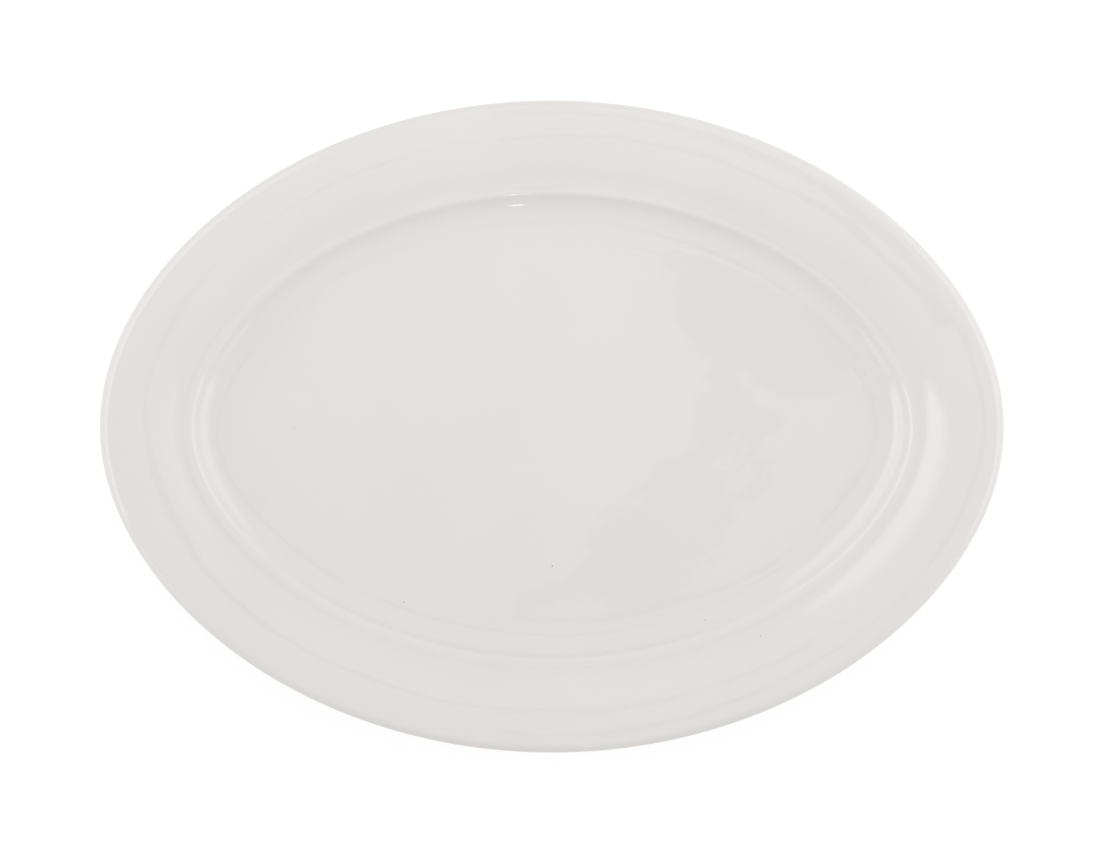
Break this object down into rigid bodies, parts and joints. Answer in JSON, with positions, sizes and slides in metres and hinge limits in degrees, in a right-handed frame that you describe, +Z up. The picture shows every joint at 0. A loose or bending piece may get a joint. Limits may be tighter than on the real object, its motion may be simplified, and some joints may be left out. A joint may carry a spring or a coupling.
{
  "type": "oval serving platter",
  "caption": "White glazed porcelain oval serving platter: a broad, gently curved rim falls to a soft crest and a flat sunken well, over a low foot ring that is bare where it stands.",
  "frame": {"origin": "middle of the plane that the foot ring stands on", "axes": "+X along the platter's length, +Y across it, +Z up out of the well"},
  "size_m": [0.305, 0.22, 0.0201],
  "materials": {
    "porcelain": "unglazed, ground smooth at the foot",
    "clear_glaze": "clear glossy glaze over white porcelain"
  },
  "bodies": {
    "root": {"porcelain_body": "porcelain", "face_glaze": "clear_glaze", "base_glaze": "clear_glaze"}
  },
  "joints": []
}
